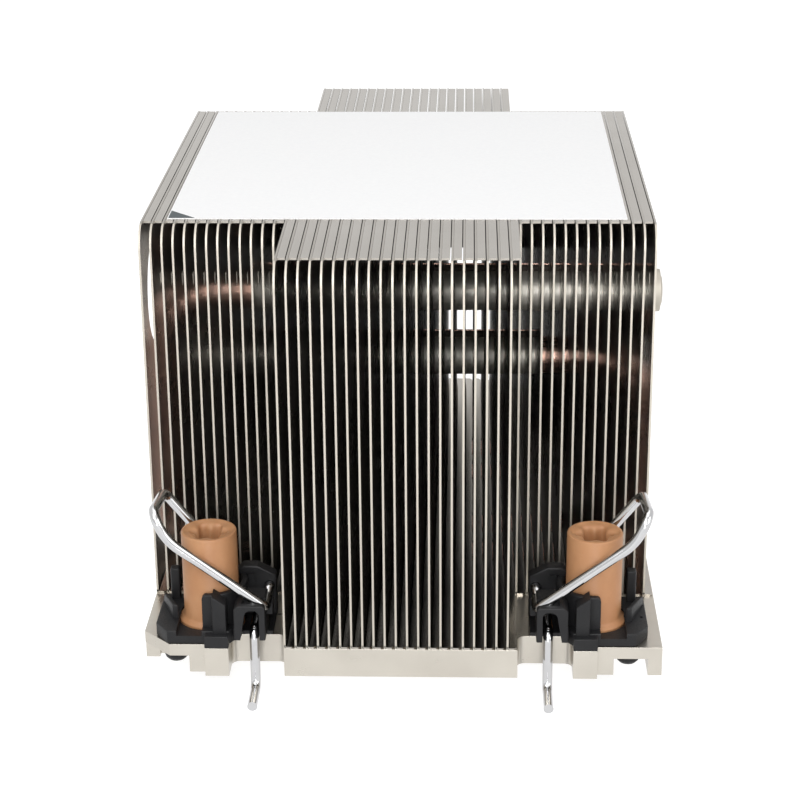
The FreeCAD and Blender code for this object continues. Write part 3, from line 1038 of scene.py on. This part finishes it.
@dataclass
class HeatPipes:
    """Bent copper pipes with their collars."""

    finishes: Finishes
    stack: FinStack
    radius: float = 3.0
    sides: int = 28
    arc_points: int = 14
    riser_x: float = 36.1
    bend: float = 9.0
    low_rise: float = 6.2
    low_slope: float = 1.6
    sunk: float = 1.6
    foot_width: float = 8.0
    groove_floor: float = 1.8
    base_top: float = 4.6
    free_end: float = 40.1
    end_round: float = 1.2
    plated_from: float = 38.7
    foot_end: float = 25.0
    first_collar: int = 10
    collar_end: float = 1.64
    collar_sides: int = 32
    crease: float = 40.0

    def build(self) -> None:
        """Build and dress all the pipes."""
        tree = rod_tree()
        stack, copper = self.stack, self.finishes["copper"]
        levels = (("upper", -1, stack.upper_z, stack.upper_rows),
                  ("lower", 1, stack.lower_z, stack.lower_rows))
        rows = [("heat_pipe_%s_%s" % (level, place), side, height, y)
                for level, side, height, ys in levels for place, y in zip(("front", "rear"), ys)]
        for name, side, height, y in rows:
            points = [
                (-side * (self.free_end - self.end_round), y, height),
                (side * self.riser_x, y, height),
                (side * self.riser_x, y, self.base_top + self.low_rise),
                (side * (self.riser_x - self.low_slope * self.low_rise), y, self.base_top - self.sunk),
            ]
            bends = (0.0, self.bend, self.bend, 0.0)
            tube = tree.run(path_object("path", points, bends), name + "_tube",
                            Radius=self.radius * MM, Sides=self.sides, Arc_Points=self.arc_points,
                            Material=copper)
            self.close_end(tube, side, y, height)
            foot = self.foot(name + "_foot", side, y)
            dress(tube, copper, Slot.COPPER, "heatsink", name)
            # The plated end takes the lighter nickel: painted highlight.
            tube.data.materials.append(self.finishes["edge"])
            for face in tube.data.polygons:
                face.material_index = 1 if -side * face.center.x > self.plated_from * MM else 0
            dress(foot, copper, Slot.COPPER, "heatsink", name)
            self.collars(name, side, y, height)
            self.seams(name, side, y, height)
            self.cap(name, side, y, height)

    def close_end(self, tube: Obj, side: int, y: float, z: float) -> None:
        """Add the rounded, spun-shut end of the pipe.

        Args:
            tube: pipe to close.
            side: side of the bend, -1 or 1.
            y: place along Y, in millimetres.
            z: height, in millimetres.
        """
        start = -side * (self.free_end - self.end_round - 0.05)
        rings = []
        for step in range(6):
            turn = math.pi / 2 * step / 5
            radius = (self.radius - self.end_round) + self.end_round * math.cos(turn)
            x = start + -side * self.end_round * math.sin(turn)
            rings.append(circle(Axis.X, radius, (x, y, z), self.sides))
        bm = bmesh.new()
        add_loft(bm, rings)
        bmesh.ops.recalc_face_normals(bm, faces=bm.faces)
        bm.from_mesh(tube.data)
        bm.to_mesh(tube.data)
        bm.free()
        shade(tube, self.crease)

    def foot(self, name: str, side: int, y: float) -> Obj:
        """Flattened run that lies in the base.

        Args:
            name: name of the object.
            side: side of the bend, -1 or 1.
            y: place along Y, in millimetres.

        Returns:
            The object.
        """
        half = self.foot_width / 2
        thick = self.base_top - self.groove_floor
        r = thick / 2 - 0.02
        z = self.groove_floor + thick / 2
        bulge = arc(half - r, 0.0, r, -math.pi / 2, math.pi / 2, 8)
        section = [(sign * a, z + sign * b) for sign in (1, -1) for a, b in bulge]
        low, high = sorted((side * (self.riser_x - 5.0), -side * self.foot_end))
        made = loft_object(name, [[Vector((x, y + a, b)) * MM for a, b in section]
                                  for x in (low, high - 0.1)])
        shade(made, 30.0)
        return made

    def collared(self, side: int) -> list[int]:
        """Fins whose collars close round a pipe, away from its bend.

        Args:
            side: side of the bend, -1 or 1.

        Returns:
            The numbers of the fins.
        """
        last = self.stack.count - 2
        if side < 0:
            return list(range(self.first_collar, last + 1))
        return list(range(0, last + 1 - self.first_collar))

    def row(self, name: str, piece: Obj, side: int, finish: str) -> None:
        """Repeat a piece at every collar of a pipe, and dress the row.

        Args:
            name: name of the object.
            piece: what is repeated.
            side: side of the bend, -1 or 1.
            finish: short name of the finish.
        """
        stack, indices, material = self.stack, self.collared(side), self.finishes[finish]
        made = repeat(name, piece, len(indices), stack.pitch, stack.start(indices[0]), self.crease, material)
        dress(made, material, Slot.FINS, "heatsink")

    def collars(self, name: str, side: int, y: float, z: float) -> None:
        """Nickel collars that each fin folds round the pipe, up to the next fin, in a near-white nickel as
        painted light.

        Args:
            name: name of the object.
            side: side of the bend, -1 or 1.
            y: place along Y, in millimetres.
            z: height, in millimetres.
        """
        end = self.collar_end
        profile = ((0.3, 3.3), (0.6, 3.22), (end, 3.22), (end, 3.04), (0.3, 3.04))
        rings = [circle(Axis.X, r, (x, y, z), self.collar_sides) for x, r in profile]
        self.row(name + "_collars", loft_object("collar", rings, True), side, "collar")

    def seams(self, name: str, side: int, y: float, z: float) -> None:
        """Pressed notch over each collar, near black as painted shade, and the thin line of solder that lies
        on the notches.

        Args:
            name: name of the object.
            side: side of the bend, -1 or 1.
            y: place along Y, in millimetres.
            z: height, in millimetres.
        """
        stack, indices = self.stack, self.collared(side)
        low = stack.start(indices[0]) + 0.2
        high = stack.start(indices[-1]) + stack.pitch
        notch = [circle(Axis.X, 0.62, (x, y, z + 3.6), 12) for x in (0.25, self.collar_end)]
        # The notches carry the near-black finish: painted shade.
        self.row(name + "_notches", loft_object("notch", notch), side, "fold")
        line = [circle(Axis.X, 0.14, (x, y, z + 4.2), 10) for x in (low, high)]
        bead = loft_object(name + "_solder", line)
        shade(bead, self.crease)
        dress(bead, self.finishes["copper"], Slot.COPPER, "heatsink")

    def cap(self, name: str, side: int, y: float, z: float) -> None:
        """Plated sleeve with rounded end that covers the pipe's free end.

        Args:
            name: name of the object.
            side: side of the bend, -1 or 1.
            y: place along Y, in millimetres.
            z: height, in millimetres.
        """
        profile = [(37.62, 3.35), (39.55, 3.35), (39.7, 3.28), (39.7, 3.04), (37.62, 3.04)]
        rings = [circle(Axis.X, r, (-side * x, y, z), self.collar_sides) for x, r in profile]
        made = loft_object(name + "_sleeve", rings, True)
        shade(made, self.crease)
        # The sleeve takes the lighter nickel: painted highlight.
        dress(made, self.finishes["edge"], Slot.FINS, "heatsink")


# --- nuts
@dataclass
class CaptiveNuts:
    """Four tall plastic nuts with six-lobe sockets."""

    finishes: Finishes
    radius: float = 4.2
    flange_radius: float = 4.95
    seat: float = 4.65
    top: float = 20.2
    thread_radius: float = 1.62
    shank_radius: float = 2.9
    shank_end: float = 0.8
    socket_depth: float = 6.0
    socket_radius: float = 1.9
    lobe_height: float = 0.8
    sides: int = 96

    def socket_ring(self, x: float, y: float, z: float, grow: float) -> list[Vector]:
        """One outline of the six-lobe socket, grown outwards towards a circle.

        Args:
            x: place along X, in millimetres.
            y: place along Y, in millimetres.
            z: height, in millimetres.
            grow: growth outwards, in millimetres.

        Returns:
            The points, in metres.
        """
        points = []
        for i in range(self.sides):
            turn = 2 * math.pi * i / self.sides
            lobe = 0.5 + 0.5 * math.cos(6 * turn)
            radius = self.socket_radius + self.lobe_height * lobe + grow * (1.0 - 0.5 * lobe)
            sink = 0.16 * grow * lobe
            points.append(Vector((x + radius * math.cos(turn), y + radius * math.sin(turn), z - sink)) * MM)
        return points

    def rings(self, x: float, y: float) -> Rings:
        """All rings from the thread's mouth over the outside and down the socket.

        Args:
            x: place along X, in millimetres.
            y: place along Y, in millimetres.

        Returns:
            The rings, in metres.
        """
        outside = [
            (self.thread_radius, self.shank_end + 6.0), (self.thread_radius, self.shank_end),
            (self.shank_radius - 0.2, self.shank_end), (self.shank_radius, self.shank_end + 0.2),
            (self.shank_radius, self.seat), (self.flange_radius - 0.12, self.seat),
            (self.flange_radius, self.seat + 0.12), (self.flange_radius, self.seat + 1.4),
            (self.flange_radius - 0.12, self.seat + 1.55), (self.radius + 0.15, self.seat + 1.9),
            (self.radius, self.seat + 2.2), (self.radius, self.top - 0.3),
            (self.radius - 0.09, self.top - 0.09), (self.radius - 0.3, self.top),
            (3.85, self.top), (3.7, self.top - 0.05),
        ]
        crimp = ((0.1, 1.35), (0.18, 0.75), (0.34, 0.42), (0.75, 0.14), (1.3, 0.0), (self.socket_depth, 0.0))
        return [circle(Axis.Z, r, (x, y, z), self.sides) for r, z in outside] + [
            self.socket_ring(x, y, self.top - down, grow) for down, grow in crimp]

    def build(self) -> None:
        """Build and dress the four nuts."""
        for corner in Corner:
            sx, sy = corner.signs
            name = "nut_" + corner.label
            nut = loft_object(name + "_turned", self.rings(sx * NUT_X, sy * NUT_Y))
            shade(nut, 38.0)
            dress(nut, self.finishes["peek"], Slot.PEEK, name, name)


# --- wires
@dataclass
class AntiTiltWires:
    """Four bent spring wires."""

    finishes: Finishes
    radius: float = 0.75
    sides: int = 32
    arc_points: int = 16
    bends: tuple[float, ...] = (0.0, 1.7, 1.5, 1.5, 1.5, 1.2, 3.0, 1.6, 2.0, 8.5, 0.95, 0.0)
    pivot_x: float = 20.3
    pivot_z: float = 9.9
    front_y: float = 54.4
    rear_y: float = 43.6
    stub_end: float = 50.6
    crank_y: float = 48.4
    hook_x: float = 22.0
    hook_top: float = 6.3
    hook_y: float = 55.2
    hook_bottom: float = -3.0
    foot_end: float = 61.4

    def points(self, sx: int, sy: int) -> list[Point]:
        """Corner points from the hook's foot to the pivot stub.

        Args:
            sx: sign of X.
            sy: sign of Y.

        Returns:
            The points, in millimetres.
        """
        raw = [
            (self.hook_x, self.foot_end, self.hook_bottom),
            (self.hook_x, self.hook_y, self.hook_bottom),
            (self.hook_x, self.hook_y, self.hook_top),
            (self.hook_x, self.crank_y, self.hook_top),
            (self.pivot_x, self.crank_y, self.pivot_z),
            (self.pivot_x, self.rear_y, self.pivot_z),
            (25.5, self.rear_y, 10.3),
            (36.3, self.rear_y, 23.9),
            (36.6, self.front_y, 25.2),
            (34.6, self.front_y, 20.75),
            (self.pivot_x, self.front_y, self.pivot_z),
            (self.pivot_x, self.stub_end, self.pivot_z),
        ]
        return [(sx * x, sy * y, z) for x, y, z in raw]

    def build(self) -> None:
        """Build and dress the four wires."""
        tree = rod_tree()
        for corner in Corner:
            node = "anti_tilt_wire_" + corner.label
            wire = tree.run(path_object("path", self.points(*corner.signs), self.bends), node + "_bent",
                            Radius=self.radius * MM, Sides=self.sides, Arc_Points=self.arc_points,
                            Material=self.finishes["wire"])
            outward(wire)
            shade(wire, 50.0)
            dress(wire, self.finishes["wire"], Slot.WIRE, "wire_" + corner.label, node)


# --- base plate
@dataclass
class BasePlate:
    """The machined plate with broken edges and round holes for the nuts."""

    finishes: Finishes
    hole_radius: float = 3.25
    edge: float = 0.12

    def build(self) -> None:
        """Copy the exact plate, merge it, round its holes and break its edges."""
        copy = add_object("base_plate_edged", frame["nodes"]["base_plate"].data.copy())
        outward(copy, 2e-6)
        bm = bmesh.new()
        bm.from_mesh(copy.data)
        bmesh.ops.dissolve_limit(bm, angle_limit=math.radians(1.0), verts=bm.verts, edges=bm.edges)
        bm.to_mesh(copy.data)
        bm.free()
        drills = []
        for corner in Corner:
            sx, sy = corner.signs
            drills.append(turned_object("drill", [(self.hole_radius, -1.0), (self.hole_radius, 6.0)],
                                        sx * NUT_X, sy * NUT_Y, 48))
        copy = carve(copy, drills, "DIFFERENCE")
        soften(copy, self.edge, 40.0)
        made = bake(copy, "base_plate_edged")
        shade(made, 9.0)
        dress(made, self.finishes["base"], Slot.NICKEL, "heatsink", "base_plate")


# --- retainers
@dataclass
class Retainers:
    """Four moulded corner pieces with rounded walls."""

    finishes: Finishes
    low: float = 4.6
    top: float = 6.7
    bore: float = 4.7
    sides: int = 72

    def wall(self, name: str, outline: Outline, y0: float, y1: float, edge: float) -> Obj:
        """Wall with an outline in the XZ plane, between two depths."""
        points = [(x, y0, z) for x, z in outline]
        return moulded(name, prism(points, (0, y1 - y0, 0)), edge)

    def block(self, name: str, low: Point, high: Point, edge: float) -> Obj:
        """Rounded block between two corners."""
        return moulded(name, box(low, high), edge)

    def ring(self, name: str, inner: float, outer: float, z0: float, z1: float) -> Obj:
        """Upright ring round the nut with a rounded top.

        Args:
            name: name of the object.
            inner: inner radius.
            outer: outer radius.
            z0: lower end.
            z1: upper end.

        Returns:
            The object.
        """
        r = 0.22
        profile = [(inner, z0), (outer, z0), (outer, z1 - r), (outer - 0.3 * r, z1 - 0.3 * r),
                   (outer - r, z1), (inner + r, z1), (inner + 0.3 * r, z1 - 0.3 * r), (inner, z1 - r)]
        rings = [circle(Axis.Z, a, (NUT_X, NUT_Y, z), self.sides) for a, z in profile]
        return loft_object(name, rings, True)

    def floor_plate(self) -> Obj:
        """Plate on the ear with its clipped corner and the low step before the nut.

        Returns:
            The object.
        """
        outline = [(23.65, 43.3), (37.0, 43.3), (37.0, 53.3), (35.0, 56.1), (25.7, 56.1), (23.65, 52.85)]
        points = [(x, y, self.low) for x, y in outline]
        plate = moulded("plate", prism(points, (0, 0, self.top - self.low)), 0.15)
        step = self.block("step", (29.8, 50.0, 5.9), (33.65, 60.0, 9.0), 0.0)
        return carve(plate, [step], "DIFFERENCE")

    def collar(self) -> Obj:
        """Half ring in front of the nut, with a rounded shoulder at its open end.

        Returns:
            The object.
        """
        ring = self.ring("collar", self.bore, 5.6, self.low, 11.95)
        shoulder = [(29.8, self.low - 1.0), *arc(NUT_X, 11.15, 0.8, 0.0, math.pi / 2, 6), (NUT_X, 13.0),
                    (36.0, 13.0), (36.0, self.low - 1.0)]
        side = self.wall("side", shoulder, 40.0, 60.0, 0.0)
        back = self.block("back", (20.0, 40.0, self.top), (36.0, 44.8, 13.0), 0.0)
        return carve(ring, [side, back], "DIFFERENCE")

    def rib(self) -> Obj:
        """Slanted gusset that runs outwards and falls towards the fins.

        Returns:
            The object.
        """
        rear = [(35.8, 46.0, 5.6), (36.85, 46.0, 5.6), (36.75, 46.0, 7.9), (35.9, 46.0, 7.9)]
        front = [(33.65, 52.0, 5.6), (34.7, 52.0, 5.6), (34.6, 52.0, 9.0), (33.75, 52.0, 9.0)]

        return moulded("rib", [[Vector(p) * MM for p in ring] for ring in (front, rear)], 0.2)

    def peg(self) -> Obj:
        """Snap peg under the ear, with a domed head.

        Returns:
            The object.
        """
        profile = [(0.05, 0.45), (0.7, 0.5), (1.3, 0.75), (1.7, 1.2), (1.9, 1.8), (1.92, 2.66), (1.4, 2.7),
                   (1.4, 4.8)]
        return turned_object("peg", profile, 34.1, 53.0, 48)

    def arc(self) -> Obj:
        """Short arc between the nut and the pivot lug.

        Returns:
            The object.
        """
        ring = self.ring("arc", 5.7, 6.75, 8.0, 12.05)
        near = self.block("near", (18.0, 47.4, 7.0), (40.0, 60.0, 13.0), 0.0)
        far = self.block("far", (18.0, 40.0, 7.0), (40.0, 44.2, 13.0), 0.0)
        side = self.block("side", (25.7, 40.0, 7.0), (40.0, 60.0, 13.0), 0.0)
        return carve(ring, [near, far, side], "DIFFERENCE")

    def parts(self) -> list[Obj]:
        """Everything that is added to the plate.

        Returns:
            The solids.
        """
        low = self.low
        return [
            self.block("foot", (25.7, 55.6, low), (29.3, 57.6, 6.55), 0.15),
            self.block("web", (19.4, 44.6, low), (24.0, 52.85, 5.2), 0.1),
            self.wall("post", [(26.05, low), (28.1, low), (28.1, 12.6), (26.05, 11.15)], 53.4, 56.5, 0.18),
            self.block("tall", (34.3, 43.8, low), (35.7, 45.4, 11.9), 0.25),
            self.wall("arch", [(20.2, 5.35), (20.2, 10.75), (20.5, 11.05), (24.3, 11.05), (24.9, 10.5),
                               (24.9, 8.2), (25.0, 6.7), (25.0, 5.35)], 49.9, 56.5, 0.18),
            self.block("seat", (20.2, 49.9, low), (25.0, 52.85, 5.6), 0.0),
            self.block("saddle", (19.3, 50.6, 8.2), (22.9, 53.3, 9.9), 0.12),
            self.wall("lug", [(19.3, low), (25.8, low), (25.8, 11.7), (24.3, 13.1), (22.1, 13.1),
                              (19.3, 11.6)], 44.6, 46.8, 0.25),
            self.collar(), self.rib(), self.arc(), self.peg(),
        ]

    def channel(self, name: str, y0: float, y1: float, z0: float) -> Obj:
        """Flared hook channel with rounded upper corners.

        Args:
            name: name of the object.
            y0: first depth.
            y1: second depth.
            z0: lower end.

        Returns:
            The object.
        """
        outline = [(21.1, z0), (24.3, z0), (23.3, 9.6), (23.1, 10.0), (22.6, 10.3), (21.7, 10.3),
                   (21.25, 10.0), (21.1, 9.6)]
        return self.wall(name, outline, y0, y1, 0.0)

    def openings(self, corner: Corner) -> list[Obj]:
        """Everything that is cut away.

        Args:
            corner: corner of the base.

        Returns:
            The solids.
        """
        tools = [
            turned_object("bore", [(self.bore, 3.0), (self.bore, 14.0)], NUT_X, NUT_Y, self.sides),
            turned_object("under", [(5.25, 3.0), (5.25, 6.5)], NUT_X, NUT_Y, self.sides),
            self.channel("hook", 52.85, 58.0, self.low - 1.0),
            self.channel("crank", 46.8, 52.85, 5.2),
            self.block("relief", (18.0, 53.35, 8.85), (23.7, 55.45, 12.0), 0.0),
            loft_object("pivot", [circle(Axis.Y, 0.81, (20.3, end, 9.9), 32) for end in (44.0, 54.4)]),
        ]
        if corner in (Corner.FRONT_RIGHT, Corner.REAR_LEFT):
            tools.append(turned_object("gate", [(0.26, 6.2), (0.26, 8.0)], 36.2, 50.4, 20))
        return tools

    def build(self) -> None:
        """Build and dress the four retainers."""
        for corner in Corner:
            body = carve(self.floor_plate(), self.parts(), "UNION")
            body = carve(body, self.openings(corner), "DIFFERENCE")
            body.data.transform(Matrix.Diagonal((*corner.signs, 1.0, 1.0)))
            body.name = "retainer_%s_moulded" % corner.label
            outward(body, MERGE)
            shade(body, 20.0)
            dress(body, self.finishes["plastic"], Slot.PLASTIC, "heatsink", "retainer_" + corner.label)


# --- label
@dataclass
class TopLabel:
    """Blank label with its pin 1 triangle."""

    finishes: Finishes
    triangle: float = 4.0
    margin: float = 0.15
    lift: float = 0.02

    def build(self) -> None:
        """Dress the label and add the triangle."""
        low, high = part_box("top_label")
        node = frame["nodes"]["top_label"]
        node.data.materials.clear()
        node.data.materials.append(self.finishes["label"])
        x, y, z = low[0] / MM + self.margin, low[1] / MM + self.margin, high[2] / MM
        outline = [(x, y, z), (x + self.triangle, y, z), (x, y + self.triangle, z)]
        mark = loft_object("pin_mark", prism(outline, (0, 0, self.lift)))
        dress(mark, self.finishes["mark"], Slot.LABEL, "heatsink")


# --- studio
@dataclass
class Studio:
    """Pale floor, soft lights and the camera."""

    lens: float = 94.57
    position: Point = (9.821, -335.960, 151.537)
    yaw: float = -1.96863
    pitch: float = 21.02831
    roll: float = -0.48716
    floor_z: float = -3.8
    floor_size: float = 2000.0
    floor_grey: float = 0.4
    glow: float = 0.82
    ambient: float = 0.35
    middle: Point = (0.0, 0.0, 30.0)

    def camera(self) -> None:
        """Place the camera."""
        data = bpy.data.cameras.new("view")
        data.lens = self.lens
        data.sensor_width = 36.0
        data.clip_start = 0.01
        data.clip_end = 20.0
        cam = add_object("view", data)
        yaw, pitch, roll = (math.radians(a) for a in (self.yaw, self.pitch, self.roll))
        ahead = Vector((math.sin(yaw) * math.cos(pitch), math.cos(yaw) * math.cos(pitch), -math.sin(pitch)))
        right = Vector((math.cos(yaw), -math.sin(yaw), 0.0))
        up = right.cross(ahead)
        right_r = right * math.cos(roll) + up * math.sin(roll)
        up_r = up * math.cos(roll) - right * math.sin(roll)
        turn = Matrix((right_r, up_r, -ahead)).transposed()
        cam.matrix_world = Matrix.Translation(Vector(self.position) * MM) @ turn.to_4x4()
        bpy.context.scene.camera = cam

    def light(self, name: str, position: Point, size: tuple[float, float], power: float) -> None:
        """Add a soft area light aimed at the object's middle.

        Args:
            name: name of the light.
            position: its place, in millimetres.
            size: its width and height, in metres.
            power: its power, in watts.
        """
        data = bpy.data.lights.new(name, "AREA")
        data.shape = "RECTANGLE"
        data.size, data.size_y = size
        data.energy = power
        lamp = add_object(name, data)
        place = Vector(position) * MM
        aim = (Vector(self.middle) * MM - place).to_track_quat("-Z", "Y")
        lamp.matrix_world = Matrix.Translation(place) @ aim.to_matrix().to_4x4()

    def world(self) -> None:
        """White surroundings for the camera and reflections, softer for lighting."""
        world = bpy.data.worlds.new("studio")
        world.use_nodes = True
        bpy.context.scene.world = world
        tree = NodeTree(world.node_tree)
        lit, seen = (tree.node("ShaderNodeBackground", {"Color": WHITE, "Strength": strength})
                     for strength in (self.ambient, 1.0))
        self.show(tree, (lit, "Background"), (seen, "Background"), "ShaderNodeOutputWorld")

    def show(self, tree: NodeTree, lit: tuple[Node, str], seen: tuple[Node, str], output: str) -> None:
        """Send one shader to camera, glossy and transmission rays, and another to the rest.

        Args:
            tree: tree to finish.
            lit: node and output for the rays that only light.
            seen: node and output for the rays that show the background.
            output: kind of the tree's output node.
        """
        path = tree.node("ShaderNodeLightPath")
        pair, shown = (tree.node("ShaderNodeMath", operation="MAXIMUM") for _ in range(2))
        mix = tree.node("ShaderNodeMixShader")
        tree.link(
            (path, "Is Camera Ray", pair, 0),
            (path, "Is Glossy Ray", pair, 1),
            (pair, "Value", shown, 0),
            (path, "Is Transmission Ray", shown, 1),
            (shown, "Value", mix, "Fac"),
            (*lit, mix, 1),
            (*seen, mix, 2),
            (mix, "Shader", tree.node(output), "Surface"),
        )

    def floor(self) -> None:
        """Wide pale floor under the hooks."""
        size = self.floor_size
        floor = loft_object("floor", box((-size, -size, self.floor_z - 2.0), (size, size, self.floor_z)))
        material = bpy.data.materials.new("floor_paper")
        material.use_nodes = True
        self.paper(NodeTree(material.node_tree))
        floor.data.materials.append(material)

    def paper(self, tree: NodeTree) -> None:
        """Floor paper that shows white to the camera and keeps its shadow.

        Args:
            tree: tree to fill.
        """
        grey = tree.node("ShaderNodeBsdfPrincipled", {"Base Color": (*[self.floor_grey] * 3, 1.0),
                                                      "Roughness": 0.85})
        glow = tree.node("ShaderNodeEmission", {"Color": WHITE, "Strength": self.glow})
        both = tree.node("ShaderNodeAddShader")
        tree.link((grey, "BSDF", both, 0), (glow, "Emission", both, 1))
        self.show(tree, (grey, "BSDF"), (both, "Shader"), "ShaderNodeOutputMaterial")

    def build(self) -> None:
        """Set up the whole studio."""
        self.camera()
        self.world()
        self.floor()
        self.light("key", (-220.0, -420.0, 520.0), (0.4, 0.4), 1.5)
        self.light("fill", (420.0, -320.0, 260.0), (0.4, 0.4), 1.0)
        self.light("front", (10.0, -620.0, 220.0), (0.14, 0.5), 1.9)
        self.light("top", (0.0, 60.0, 620.0), (0.6, 0.6), 1.3)
        bpy.context.scene.view_settings.view_transform = "Standard"


def main() -> None:
    """Build the object, dress it and light it."""
    logging.basicConfig(level=logging.INFO)
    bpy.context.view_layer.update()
    finishes = Finishes().build()
    stack = FinStack(finishes)
    stack.build()
    HeatPipes(finishes, stack).build()
    CaptiveNuts(finishes).build()
    AntiTiltWires(finishes).build()
    BasePlate(finishes).build()
    Retainers(finishes).build()
    TopLabel(finishes).build()
    Studio().build()


if __name__ == "__main__":
    main()
